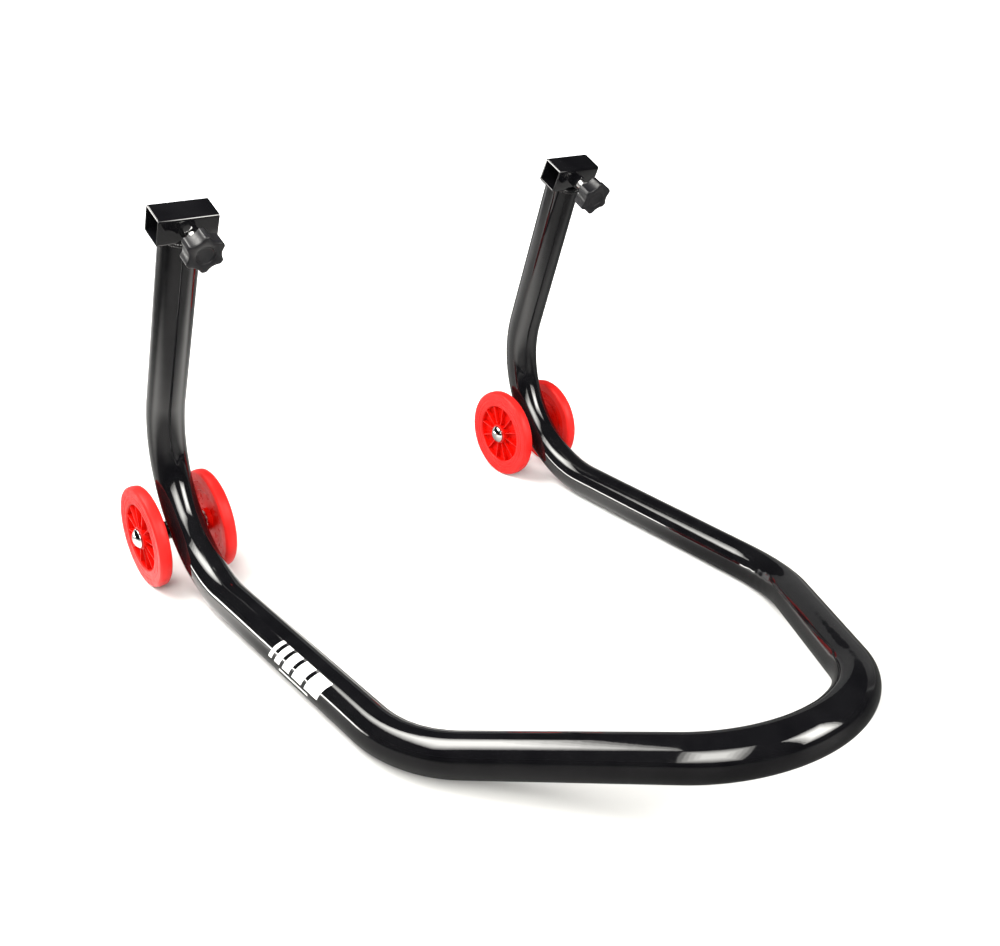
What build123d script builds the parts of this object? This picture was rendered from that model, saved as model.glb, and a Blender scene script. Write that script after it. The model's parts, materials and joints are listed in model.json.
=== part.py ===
"""Rear paddock stand for a motorcycle: one bent tube, two clamp sockets and four wheels.

Millimetres, +Z up. The origin is on the floor under the middle of the overall length and
width. +X runs across the stand, +Y from the handle towards the wheels.
"""
from build123d import *
import os
from math import asin, cos, pi, radians, sin, sqrt

# ---------------------------------------------------------------- driving dimensions

# main tube
TUBE_D = 35.0
TUBE_WALL = 2.0
BEND_R_AT_WHEELS = 119.0
BEND_R_AT_CORNERS = 136.0
BEND_R_AT_HANDLE = 114.0

# centreline corners of the tube: half width, distance ahead of the wheel corner, height
ARM_TOP = Vector(208.4, -128.4, 334.1)
WHEEL_CORNER = Vector(218.8, 0, 20.5)
FLOOR_CORNER = Vector(211.6, -450.6, 17.25)
HANDLE_CORNER = Vector(0, -733.5, 85.8)

# wheels and axles
WHEEL_D = 100.0
TREAD_W = 12.0
WHEEL_OFFSET = 32.6
HUB_D = 22.0
AXLE_D = 10.0
RUNNING_GAP = 0.05
SIDE_GAP = 0.3
SLEEVE_D = 18.0
SLEEVE_BITE = 1.0
RIB_COUNT = 12

# clamp sockets
SOCKET_SIZE = 25.0
SOCKET_WALL = 2.0
SOCKET_LENGTH = 52.0
SOCKET_LEAN = 26.7
SOCKET_SETBACK = 3.0
SOCKET_RISE = 12.6

# clamp screws, M8
SCREW_D = 8.0
SCREW_PITCH = 1.25
NUT_ACROSS_FLATS = 13.0
NUT_HEIGHT = 6.5
KNOB_D = 35.0
KNOB_THICKNESS = 14.0
KNOB_STANDOFF = {"left": 19.0, "right": 20.5}

# printed graphic on the left rail
GRAPHIC_START = 364.0
GRAPHIC_LENGTH = 92.0
GRAPHIC_ANGLE = 38.0
GRAPHIC_THICKNESS = 0.15

SIDES = {"left": -1, "right": 1}
tube_r = TUBE_D / 2
wheel_r = WHEEL_D / 2
axle_r = AXLE_D / 2

# ---------------------------------------------------------------- places worked out


def bend_centre(before, corner, after, radius):
    """Centre of the arc of this radius that rounds off a corner of the tube."""
    back = (before - corner).normalized()
    ahead = (after - corner).normalized()
    half_turn = (pi - radians(back.get_angle(ahead))) / 2
    return corner + (back + ahead).normalized() * (radius / cos(half_turn))


# The axle lies at wheel height in front of the bend, so that the tube notches its sleeve,
# and the sleeve is centred on the middle of the bend.
wheel_bend = bend_centre(ARM_TOP, WHEEL_CORNER, FLOOR_CORNER, BEND_R_AT_WHEELS)
axle_reach = BEND_R_AT_WHEELS + tube_r + SLEEVE_D / 2 - SLEEVE_BITE
axle_ahead = wheel_bend.Y + sqrt(axle_reach**2 - (wheel_bend.Z - wheel_r) ** 2)
bend_middle = wheel_bend + (WHEEL_CORNER - wheel_bend).normalized() * BEND_R_AT_WHEELS
axle_half_width = bend_middle.X

# The handle's middle lies on its bend, straight behind the arc's centre.
mirrored_floor_corner = Vector(-FLOOR_CORNER.X, FLOOR_CORNER.Y, FLOOR_CORNER.Z)
handle_bend = bend_centre(FLOOR_CORNER, HANDLE_CORNER, mirrored_floor_corner, BEND_R_AT_HANDLE)
handle_middle = handle_bend + (HANDLE_CORNER - handle_bend).normalized() * BEND_R_AT_HANDLE
shift = -(handle_middle.Y - tube_r + axle_ahead + wheel_r) / 2
axle_y = axle_ahead + shift


def place(corner, side=1):
    """A tube corner in the stand's own frame, on the side that is asked for."""
    return Vector(side * corner.X, corner.Y + shift, corner.Z)


def arm_direction(side):
    """Unit vector up the straight part of an arm."""
    return (place(ARM_TOP, side) - place(WHEEL_CORNER, side)).normalized()


# The sockets lean back towards the handle about X: up and forward are their own axes,
# forward being the way the clamp screws point, towards the handle.
lean = radians(SOCKET_LEAN)
socket_up = Vector(0, -sin(lean), cos(lean))
socket_forward = Vector(0, -cos(lean), -sin(lean))


def arm_end(side):
    """Where the arm's centreline meets the underside of its socket."""
    return place(ARM_TOP, side) + arm_direction(side) * SOCKET_RISE


def socket_centre(side):
    """Middle of the square socket tube."""
    lift = socket_up * (SOCKET_SIZE / 2)
    return arm_end(side) + lift + socket_forward * SOCKET_SETBACK


def screw_plane(side):
    """Plane on the socket's handle-side face with its normal along the clamp screw."""
    origin = socket_centre(side) + socket_forward * (SOCKET_SIZE / 2)
    return Plane(origin=origin, x_dir=(1, 0, 0), z_dir=socket_forward)


def axle_plane(side, outward):
    """Plane across the axle at the middle of a sleeve, with its normal along the axle."""
    origin = Vector(side * axle_half_width, axle_y, wheel_r)
    return Plane(origin=origin, x_dir=(0, 1, 0), z_dir=(outward, 0, 0))


# ---------------------------------------------------------------- main frame tube

START_LENGTH = 24.0
tube_points = [place(ARM_TOP) + arm_direction(1) * START_LENGTH]
tube_points += [place(point) for point in (WHEEL_CORNER, FLOOR_CORNER, HANDLE_CORNER)]
tube_points += [place(point, -1) for point in (FLOOR_CORNER, WHEEL_CORNER)]
tube_points += [place(ARM_TOP, -1) + arm_direction(-1) * START_LENGTH]
tube_radii = [BEND_R_AT_WHEELS, BEND_R_AT_CORNERS, BEND_R_AT_HANDLE]
tube_radii += [BEND_R_AT_CORNERS, BEND_R_AT_WHEELS]

with BuildPart() as main_frame_tube:
    with BuildLine() as centreline:
        FilletPolyline(*tube_points, radius=tube_radii)
    with BuildSketch(Plane(origin=centreline.line @ 0, z_dir=centreline.line % 0)):
        Circle(tube_r)
        Circle(tube_r - TUBE_WALL, mode=Mode.SUBTRACT)
    sweep()
    # both ends are cut off flush with the undersides of the sockets
    for side in SIDES.values():
        with Locations(Plane(origin=arm_end(side), x_dir=(1, 0, 0), z_dir=socket_up)):
            Box(
                2 * TUBE_D,
                2 * TUBE_D,
                TUBE_D,
                align=(Align.CENTER, Align.CENTER, Align.MIN),
                mode=Mode.SUBTRACT,
            )
main_frame_tube.part.label = "main_frame_tube"

pieces = [main_frame_tube.part]

# ---------------------------------------------------------------- sockets and clamps

SOCKET_CORNER_R = 2.5
SCREW_HOLE_R = 4.5
WELD_R = 2.6
NUT_CHAMFER = 0.9
NUT_BORE_R = SCREW_D / 2 + RUNNING_GAP
TIP_INSIDE_FACE = 1.0
TIP_CHAMFER = 1.0
SCREW_HEAD_R = 6.5
SCREW_HEAD_H = 6.0
KNOB_FLOOR = 5.0
LOBE_COUNT = 6
SCALLOP_R = 12.5
SCALLOP_CENTRE_R = 26.7
LOBE_FILLET = 1.6
KNOB_EDGE_FILLET = 1.2
CAP_D = 16.0
CAP_H = 2.0
CAP_SUNK = 0.8
CAP_LIP = 0.3


def socket_tube(side):
    """Square tube open at both ends, with a hole for the clamp screw in one wall."""
    across = Plane(origin=socket_centre(side), x_dir=socket_forward, z_dir=(1, 0, 0))
    inner = SOCKET_SIZE - 2 * SOCKET_WALL
    with BuildPart() as socket:
        with BuildSketch(across):
            RectangleRounded(SOCKET_SIZE, SOCKET_SIZE, SOCKET_CORNER_R)
            RectangleRounded(inner, inner, SOCKET_CORNER_R / 2, mode=Mode.SUBTRACT)
        extrude(amount=SOCKET_LENGTH / 2, both=True)
        with BuildSketch(screw_plane(side)):
            Circle(SCREW_HOLE_R)
        extrude(amount=-2 * SOCKET_WALL, mode=Mode.SUBTRACT)
    return socket.part


def socket_weld(side, socket):
    """Bead round the top of an arm, under and in front of its socket."""
    ring = Plane(origin=arm_end(side), x_dir=(1, 0, 0), z_dir=socket_up)
    with BuildPart() as weld:
        with Locations(ring):
            Torus(tube_r, WELD_R)
        with Locations(Plane(origin=arm_end(side), z_dir=arm_direction(side))):
            Cylinder(tube_r, 4 * WELD_R, mode=Mode.SUBTRACT)
        add(socket, mode=Mode.SUBTRACT)
    return weld.part


def hexagon_nut(plane, start):
    """Plain hexagon nut standing on a plane, its bore clear of the screw's crests."""
    with BuildPart() as nut:
        with BuildSketch(plane.offset(start)):
            RegularPolygon(NUT_ACROSS_FLATS / 2, 6, major_radius=False)
        extrude(amount=NUT_HEIGHT)
        ends = nut.faces().filter_by(plane).edges()
        chamfer(ends, length=NUT_CHAMFER / 2, length2=NUT_CHAMFER)
        with BuildSketch(plane.offset(start)):
            Circle(NUT_BORE_R)
        extrude(amount=NUT_HEIGHT, mode=Mode.SUBTRACT)
    return nut.part


def clamp_screw(plane, knob_back):
    """Cap screw whose round head sits in the knob, with its tip in the socket wall."""
    head_seat = knob_back + KNOB_FLOOR
    with BuildPart() as screw:
        with BuildSketch(plane.offset(-TIP_INSIDE_FACE)):
            Circle(SCREW_D / 2)
        extrude(amount=head_seat + TIP_INSIDE_FACE)
        chamfer(screw.faces().sort_by(Axis(plane.origin, plane.z_dir))[0].edges(), TIP_CHAMFER)
        with BuildSketch(plane.offset(head_seat)):
            Circle(SCREW_HEAD_R)
        extrude(amount=SCREW_HEAD_H)
    return screw.part


def star_knob(plane, knob_back):
    """Six-lobed hand knob with a stepped pocket for the screw's head and its cap."""
    front = knob_back + KNOB_THICKNESS
    with BuildPart() as knob:
        with BuildSketch(plane.offset(knob_back)) as outline:
            Circle(KNOB_D / 2)
            with PolarLocations(SCALLOP_CENTRE_R, LOBE_COUNT):
                Circle(SCALLOP_R, mode=Mode.SUBTRACT)
            fillet(outline.vertices(), LOBE_FILLET)
        extrude(amount=KNOB_THICKNESS)
        ends = knob.faces().filter_by(plane).edges()
        fillet(ends, KNOB_EDGE_FILLET)
        with BuildSketch(plane.offset(knob_back)):
            Circle(SCREW_D / 2 + RUNNING_GAP)
        extrude(amount=KNOB_FLOOR, mode=Mode.SUBTRACT)
        with BuildSketch(plane.offset(knob_back + KNOB_FLOOR)):
            Circle(SCREW_HEAD_R + RUNNING_GAP)
        extrude(amount=KNOB_THICKNESS, mode=Mode.SUBTRACT)
        with BuildSketch(plane.offset(front - CAP_SUNK - CAP_H)):
            Circle(CAP_D / 2)
        extrude(amount=KNOB_THICKNESS, mode=Mode.SUBTRACT)
    return knob.part


def knob_cap(plane, knob_back):
    """Round cover pressed into the front of the knob, slightly dished."""
    seat = knob_back + KNOB_THICKNESS - CAP_SUNK - CAP_H
    with BuildPart() as cap:
        with BuildSketch(plane.offset(seat)):
            Circle(CAP_D / 2)
        extrude(amount=CAP_H)
        front = cap.faces().sort_by(Axis(plane.origin, plane.z_dir))[-1]
        chamfer(front.edges(), CAP_LIP)
    return cap.part


for name, side in SIDES.items():
    face = screw_plane(side)
    standoff = KNOB_STANDOFF[name]
    socket = socket_tube(side)
    made = {
        "head_socket": socket,
        "socket_weld": socket_weld(side, socket),
        "weld_nut": hexagon_nut(face, 0),
        "jam_nut": hexagon_nut(face, standoff - NUT_HEIGHT),
        "clamp_screw": clamp_screw(face, standoff),
        "star_knob": star_knob(face, standoff),
        "knob_cap": knob_cap(face, standoff),
    }
    for node, piece in made.items():
        piece.label = f"{name}_{node}"
        pieces.append(piece)

# ---------------------------------------------------------------- axles

SLEEVE_HALF = 25.0
SLEEVE_CHAMFER = 0.6
WASHER_D = 20.0
WASHER_T = 1.3
HUB_START = 26.5
HUB_END = 39.5
CAP_START = HUB_END + SIDE_GAP
CAP_RADIUS = 9.5
CAP_HEIGHT = 5.8
CAP_RIM = 1.4
CAP_WALL = 0.8
ROD_HALF = 43.0
ROD_CHAMFER = 0.8
SADDLE_R = 12.5
SADDLE_TOP_R = 8.6
SADDLE_START = 12.0


def axle_sleeve(side):
    """Round sleeve across the tube, notched where it is welded to the wheel bend."""
    with BuildPart() as sleeve:
        with BuildSketch(axle_plane(side, 1)):
            Circle(SLEEVE_D / 2)
            Circle(axle_r, mode=Mode.SUBTRACT)
        extrude(amount=SLEEVE_HALF, both=True)
        outer_rims = sleeve.edges().filter_by(GeomType.CIRCLE).group_by(SortBy.RADIUS)[-1]
        chamfer(outer_rims, SLEEVE_CHAMFER)
        add(main_frame_tube.part, mode=Mode.SUBTRACT)
    return sleeve.part


def saddle_weld(side, sleeve):
    """Weld that fills the crevice between the tube's bend and the sleeve."""
    axle = Vector(side * axle_half_width, axle_y, wheel_r)
    centre = place(wheel_bend, side)
    towards = Vector(0, axle.Y - centre.Y, axle.Z - centre.Z).normalized()
    length = SLEEVE_D / 2 + tube_r - SLEEVE_BITE - SADDLE_START
    with BuildPart() as weld:
        base = Plane(origin=axle - towards * length, x_dir=(1, 0, 0), z_dir=towards)
        with BuildSketch(base):
            Circle(SADDLE_R)
        with BuildSketch(base.offset(length)):
            Circle(SADDLE_TOP_R)
        loft()
        with BuildSketch(axle_plane(side, 1)):
            Circle(SLEEVE_D / 2)
        extrude(amount=SLEEVE_HALF, both=True, mode=Mode.SUBTRACT)
        add(main_frame_tube.part, mode=Mode.SUBTRACT)
    return weld.part


def axle_rod(side):
    """Plain rod through the sleeve, carrying a wheel on each end."""
    with BuildPart() as rod:
        with BuildSketch(axle_plane(side, 1)):
            Circle(axle_r)
        extrude(amount=ROD_HALF, both=True)
        chamfer(rod.edges().filter_by(GeomType.CIRCLE), ROD_CHAMFER)
    return rod.part


def axle_washer(side, outward):
    """Flat washer between the sleeve and a wheel's hub."""
    with BuildPart() as washer:
        with BuildSketch(axle_plane(side, outward).offset(SLEEVE_HALF)):
            Circle(WASHER_D / 2)
            Circle(axle_r, mode=Mode.SUBTRACT)
        extrude(amount=WASHER_T)
        rims = washer.edges().filter_by(GeomType.CIRCLE)
        chamfer(rims.group_by(SortBy.RADIUS)[-1], WASHER_T / 5)
    return washer.part


def profile_plane(side, outward):
    """Half-section plane of a turned piece: x is the radius, y the way out along the axle."""
    origin = Vector(side * axle_half_width, axle_y, wheel_r)
    return Plane(origin=origin, x_dir=(0, 0, 1), z_dir=(0, outward, 0))


def axle_axis(side, outward):
    """The axle line, pointing the way the wheel faces."""
    origin = Vector(side * axle_half_width, axle_y, wheel_r)
    return Axis(origin, Vector(outward, 0, 0))


def dome_point(radius, base, top):
    """Point halfway along a spherical dome's half section, from its rim to its pole."""
    height = top - base
    sphere_r = (radius**2 + height**2) / (2 * height)
    half = asin(radius / sphere_r) / 2
    return (sphere_r * sin(half), top - sphere_r * (1 - cos(half)))


def axle_cap(side, outward):
    """Domed push-on cap: a short rim, a domed shell and a gripping plate on the rod."""
    top = CAP_START + CAP_HEIGHT
    shoulder = CAP_START + CAP_RIM
    inner_r = CAP_RADIUS - CAP_WALL
    inner_top = top - CAP_WALL
    plate = CAP_START + CAP_WALL
    with BuildPart() as cap:
        with BuildSketch(profile_plane(side, outward)):
            with BuildLine():
                Polyline((0, top), (0, CAP_START), (CAP_RADIUS, CAP_START), (CAP_RADIUS, shoulder))
                ThreePointArc(
                    (CAP_RADIUS, shoulder), dome_point(CAP_RADIUS, shoulder, top), (0, top)
                )
            make_face()
        revolve(axis=axle_axis(side, outward))
        with BuildSketch(profile_plane(side, outward)):
            with BuildLine():
                Polyline((0, inner_top), (0, plate), (inner_r, plate), (inner_r, shoulder))
                ThreePointArc(
                    (inner_r, shoulder), dome_point(inner_r, shoulder, inner_top), (0, inner_top)
                )
            make_face()
        revolve(axis=axle_axis(side, outward), mode=Mode.SUBTRACT)
        with BuildSketch(axle_plane(side, outward).offset(CAP_START)):
            Circle(axle_r)
        extrude(amount=CAP_WALL, mode=Mode.SUBTRACT)
    return cap.part


# ---------------------------------------------------------------- wheels

# Half section of the wheel: radii out from the axle, and widths measured from the middle
# of the tread, positive towards the ribbed face.
FACE = TREAD_W / 2
BORE_R = axle_r + RUNNING_GAP
HUB_BACK = HUB_START - WHEEL_OFFSET
HUB_FRONT = HUB_END - WHEEL_OFFSET
WEB_FRONT = 0.6
WEB_BACK = -1.6
RECESS_R = 32.5
RECESS_BEVEL = 1.2
GROOVE_RADII = (37.2, 41.0)
GROOVE_W = 0.9
GROOVE_DEPTH = 0.5
SHOULDER_R = 47.6
SHOULDER_DROP = 1.5
SHOULDER_BULGE = 0.5
TREAD_CROWN = 0.7
HUB_DRAFT = 0.6
RECESS_DRAFT = 0.3
BACK_CONE = 4.0
BACK_STEPS = ((43.5, 0.0), (39.5, 1.2), (35.0, 2.3), (30.0, 3.3))
RIB_T = 1.3
RIB_TOP = 5.0
RIB_BITE = 0.8


def wheel_outline():
    """Corners of the half section from the bore round the ribbed side to the back."""
    front = [(BORE_R, HUB_BACK), (BORE_R, HUB_FRONT), (HUB_D / 2, HUB_FRONT)]
    front += [(HUB_D / 2 + HUB_DRAFT, WEB_FRONT), (RECESS_R, WEB_FRONT)]
    front += [(RECESS_R + RECESS_DRAFT, FACE - RECESS_BEVEL), (RECESS_R + RECESS_BEVEL, FACE)]
    for radius in GROOVE_RADII:
        front += [(radius, FACE), (radius + GROOVE_W / 2, FACE - GROOVE_DEPTH)]
        front += [(radius + GROOVE_W, FACE)]
    front += [(SHOULDER_R, FACE)]
    return front


def wheel_back_outline():
    """Corners of the back of the half section, stepping down from the tread to the hub."""
    back = [(SHOULDER_R, -FACE)]
    depth = 0.0
    for radius, step in BACK_STEPS:
        back += [(radius, -FACE + depth), (radius, -FACE + step)]
        depth = step
    inner_step = BACK_STEPS[-1][0] - BACK_CONE
    back += [(inner_step, WEB_BACK), (HUB_D / 2, WEB_BACK), (HUB_D / 2, HUB_BACK)]
    return list(dict.fromkeys(back))


def wheel(side, outward):
    """One-piece plastic wheel: crowned tread, recessed web, twelve ribs and a hub boss."""
    front = [Vector(radius, WHEEL_OFFSET + width) for radius, width in wheel_outline()]
    back = [Vector(radius, WHEEL_OFFSET + width) for radius, width in wheel_back_outline()]
    with BuildPart() as turned:
        with BuildSketch(profile_plane(side, outward)):
            with BuildLine():
                Polyline(*front)
                edge = Vector(wheel_r - TREAD_CROWN, WHEEL_OFFSET + FACE - SHOULDER_DROP)
                far_edge = Vector(wheel_r - TREAD_CROWN, WHEEL_OFFSET - FACE + SHOULDER_DROP)
                corner_r = (SHOULDER_R + edge.X) / 2 + SHOULDER_BULGE
                ThreePointArc(front[-1], Vector(corner_r, edge.Y + SHOULDER_DROP / 2), edge)
                ThreePointArc(edge, Vector(wheel_r, WHEEL_OFFSET), far_edge)
                ThreePointArc(far_edge, Vector(corner_r, far_edge.Y - SHOULDER_DROP / 2), back[0])
                Polyline(*back, front[0])
            make_face()
        revolve(axis=axle_axis(side, outward))
        rib_length = RECESS_R - HUB_D / 2 + 2 * RIB_BITE
        web = axle_plane(side, outward).offset(WHEEL_OFFSET + WEB_FRONT)
        with BuildSketch(web):
            with PolarLocations((HUB_D / 2 + RECESS_R) / 2, RIB_COUNT):
                Rectangle(rib_length, RIB_T)
        extrude(amount=RIB_TOP - WEB_FRONT)
    return turned.part


for name, side in SIDES.items():
    sleeve = axle_sleeve(side)
    made = {
        "axle_sleeve": sleeve,
        "sleeve_weld": saddle_weld(side, sleeve),
        "axle_rod": axle_rod(side),
    }
    for where, outward in {"outer": side, "inner": -side}.items():
        made[f"{where}_washer"] = axle_washer(side, outward)
        made[f"{where}_wheel"] = wheel(side, outward)
        made[f"{where}_axle_cap"] = axle_cap(side, outward)
    for node, piece in made.items():
        piece.label = f"{name}_{node}"
        pieces.append(piece)

# ---------------------------------------------------------------- rail graphic

# A row of slanted bars and a thin stripe, printed on the upper outer side of the rail.
BAR_WIDTHS = (20.0, 15.0, 11.0, 8.0, 5.0)
BAR_GAP = 5.0
BAR_HEIGHT = 19.0
BAR_SLANT = 8.0
STRIPE_HEIGHT = 1.8
STRIPE_GAP = 4.0
FILM_MARGIN = 20.0

rail_start = place(WHEEL_CORNER, -1)
rail_along = (place(FLOOR_CORNER, -1) - rail_start).normalized()
graphic_at = rail_start + rail_along * GRAPHIC_START
outwards = Vector(-cos(radians(GRAPHIC_ANGLE)), 0, sin(radians(GRAPHIC_ANGLE)))
outwards = (outwards - rail_along * outwards.dot(rail_along)).normalized()
graphic_plane = Plane(origin=graphic_at, x_dir=-rail_along, z_dir=outwards)

with BuildPart() as rail_graphic:
    with BuildSketch(graphic_plane) as bars:
        start = 0.0
        for width in BAR_WIDTHS:
            with BuildLine():
                Polyline(
                    (start, -BAR_HEIGHT / 2),
                    (start + width, -BAR_HEIGHT / 2),
                    (start + width + BAR_SLANT, BAR_HEIGHT / 2),
                    (start + BAR_SLANT, BAR_HEIGHT / 2),
                    close=True,
                )
            make_face()
            start += width + BAR_GAP
        with Locations((GRAPHIC_LENGTH / 2, BAR_HEIGHT / 2 + STRIPE_GAP)):
            Rectangle(GRAPHIC_LENGTH / 2, STRIPE_HEIGHT)
    extrude(amount=TUBE_D)
    with BuildSketch(Plane(origin=graphic_at + rail_along * FILM_MARGIN, z_dir=-rail_along)):
        Circle(tube_r + GRAPHIC_THICKNESS)
        Circle(tube_r, mode=Mode.SUBTRACT)
    extrude(amount=GRAPHIC_LENGTH + 2 * FILM_MARGIN, mode=Mode.INTERSECT)
rail_graphic.part.label = "rail_graphic"
pieces.append(rail_graphic.part)

# ---------------------------------------------------------------- files

os.makedirs("parts", exist_ok=True)
for piece in pieces:
    export_step(piece, f"parts/{piece.label}.step")

print(len(pieces), "pieces")
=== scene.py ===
"""Looks of the paddock stand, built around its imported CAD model.

Metres, in the CAD's own frame: +X across the stand, +Y from the handle towards the wheels,
+Z up, with the origin on the floor. Places come from the frame; the few driving sizes that
the frame doesn't state are repeated from the CAD below.
"""
import json
import math

import bmesh
import bpy
from mathutils import Matrix, Vector, noise


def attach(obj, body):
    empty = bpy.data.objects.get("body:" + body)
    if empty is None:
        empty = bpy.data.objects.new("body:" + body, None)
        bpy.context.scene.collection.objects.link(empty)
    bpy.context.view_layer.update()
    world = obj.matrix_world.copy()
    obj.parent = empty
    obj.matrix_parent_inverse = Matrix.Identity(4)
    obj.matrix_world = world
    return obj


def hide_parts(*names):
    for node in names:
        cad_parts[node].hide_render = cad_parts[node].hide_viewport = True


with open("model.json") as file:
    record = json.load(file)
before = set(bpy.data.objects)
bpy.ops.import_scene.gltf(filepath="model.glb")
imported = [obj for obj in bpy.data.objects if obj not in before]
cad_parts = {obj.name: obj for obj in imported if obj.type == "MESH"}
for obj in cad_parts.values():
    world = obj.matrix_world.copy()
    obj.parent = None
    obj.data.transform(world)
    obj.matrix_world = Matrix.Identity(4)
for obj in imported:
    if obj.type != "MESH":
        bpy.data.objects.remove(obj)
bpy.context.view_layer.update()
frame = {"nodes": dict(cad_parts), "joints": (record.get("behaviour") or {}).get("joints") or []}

# ---------------------------------------------------------------- driving sizes

MM = 0.001

# main tube: centreline corners on the right-hand side, from the arm's top to the handle
TUBE_R = 17.5 * MM
TUBE_WALL = 2 * MM
ARM_TOP = Vector((208.4, 214.434, 334.1)) * MM
WHEEL_CORNER = Vector((218.8, 342.834, 20.5)) * MM
FLOOR_CORNER = Vector((211.6, -107.766, 17.25)) * MM
HANDLE_CORNER = Vector((0, -390.666, 85.8)) * MM
BEND_RADII = [119 * MM, 136 * MM, 114 * MM, 136 * MM, 119 * MM]

SOCKET_SIZE = 25 * MM
SOCKET_WALL = 2 * MM
SOCKET_LENGTH = 52 * MM
SOCKET_CORNER_R = 2.5 * MM
SOCKET_SETBACK = 3 * MM

SCREW_R = 4 * MM
SCREW_PITCH = 1.25 * MM
SCREW_TIP = -1 * MM
SCREW_HEAD_R = 6.5 * MM
SCREW_HEAD_HEIGHT = 6 * MM
NUT_ACROSS_FLATS = 13 * MM
NUT_HEIGHT = 6.5 * MM
KNOB_R = 17.5 * MM
KNOB_THICKNESS = 14 * MM
KNOB_SEAT = 5 * MM
KNOB_STANDOFF = {"left": 19 * MM, "right": 20.5 * MM}
CAP_R = 8 * MM

WHEEL_R = 50 * MM
WHEEL_OFFSET = 32.6 * MM
AXLE_R = 5 * MM
SLEEVE_R = 9 * MM
SLEEVE_HALF = 25 * MM
HUB_R = 11 * MM
HUB_START = 26.5 * MM
HUB_END = 39.5 * MM
AXLE_CAP_START = 39.8 * MM
AXLE_CAP_R = 9.5 * MM

GRAPHIC_START = 364 * MM
GRAPHIC_ANGLE = math.radians(38)

SIDES = {"left": -1, "right": 1}
joints = {joint["name"]: joint for joint in frame["joints"]}

# ---------------------------------------------------------------- meshes

CRISP_ANGLE = math.radians(38)
MERGE_DISTANCE = 0.002 * MM


def new_piece(name, bm, sharp=CRISP_ANGLE):
    """A smooth-shaded object from a bmesh, with edges sharper than the given angle kept crisp."""
    bmesh.ops.remove_doubles(bm, verts=bm.verts, dist=MERGE_DISTANCE)
    bmesh.ops.recalc_face_normals(bm, faces=bm.faces)
    for face in bm.faces:
        face.smooth = True
    for edge in bm.edges:
        if len(edge.link_faces) == 2 and edge.calc_face_angle() > sharp:
            edge.smooth = False
    mesh = bpy.data.meshes.new(name)
    bm.to_mesh(mesh)
    bm.free()
    piece = bpy.data.objects.new(name, mesh)
    bpy.context.scene.collection.objects.link(piece)
    return piece


def add_skin(bm, rings, closed=False):
    """Adds a quad skin over rings of points. A closed skin runs back to its first ring."""
    rows = [[bm.verts.new(point) for point in ring] for ring in rings]
    pairs = list(zip(rows, rows[1:]))
    if closed:
        pairs.append((rows[-1], rows[0]))
    for first, second in pairs:
        for k in range(len(first)):
            after = (k + 1) % len(first)
            bm.faces.new((first[k], first[after], second[after], second[k]))
    if not closed:
        bm.faces.new(rows[0][::-1])
        bm.faces.new(rows[-1])


def rounded_outline(corners, radius, steps=4):
    """A closed 2-D outline whose corners are rounded as far as their edges allow."""
    nearly_straight, edge_share = math.radians(87), 0.45
    outline = []
    neighbours = zip(corners[-1:] + corners[:-1], corners, corners[1:] + corners[:1])
    for before, corner, after in neighbours:
        corner = Vector(corner)
        back, ahead = Vector(before) - corner, Vector(after) - corner
        half = back.angle(ahead) / 2
        if half > nearly_straight:
            outline.append(corner)
            continue
        cut = min(radius / math.tan(half), edge_share * min(back.length, ahead.length))
        start, end = corner + back.normalized() * cut, corner + ahead.normalized() * cut
        for step in range(steps + 1):
            share = step / steps
            outline.append(
                start * (1 - share) ** 2 + corner * 2 * share * (1 - share) + end * share**2
            )
    return outline


def level_ring(radius_at, height, around):
    """A level ring of points about Z, whose radius is a function of the turn."""
    turns = [2 * math.pi * k / around for k in range(around)]
    radii = [radius_at(turn) for turn in turns]
    return [(r * math.cos(turn), r * math.sin(turn), height) for r, turn in zip(radii, turns)]


def circle_ring(radius, height, around):
    """A level circle of points about Z."""
    return level_ring(lambda turn: radius, height, around)


def add_turned(bm, outline, around=96):
    """Adds a body turned about Z from a closed outline of (radius, height) points."""
    rings = []
    for k in range(around):
        turn = 2 * math.pi * k / around
        rings.append([(r * math.cos(turn), r * math.sin(turn), h) for r, h in outline])
    add_skin(bm, rings, closed=True)


def placed(piece, matrix):
    """Moves a piece's mesh, not its object, to where it belongs in the stand's frame."""
    piece.data.transform(matrix)
    return piece


def axes(origin, x_axis, z_axis):
    """Matrix whose X and Z columns are the given directions."""
    x_axis, z_axis = Vector(x_axis).normalized(), Vector(z_axis).normalized()
    y_axis = z_axis.cross(x_axis)
    turn = Matrix((x_axis, y_axis, z_axis)).transposed().to_4x4()
    return Matrix.Translation(origin) @ turn


def belongs(piece, body, slot, finish, *nodes):
    """Gives a new piece its finish and body and hides the CAD nodes it stands for; the slot is not
    used.
    """
    if finish is not None:
        piece.data.materials.append(finish)
    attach(piece, body)
    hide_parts(*nodes)


# ---------------------------------------------------------------- finishes


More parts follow.
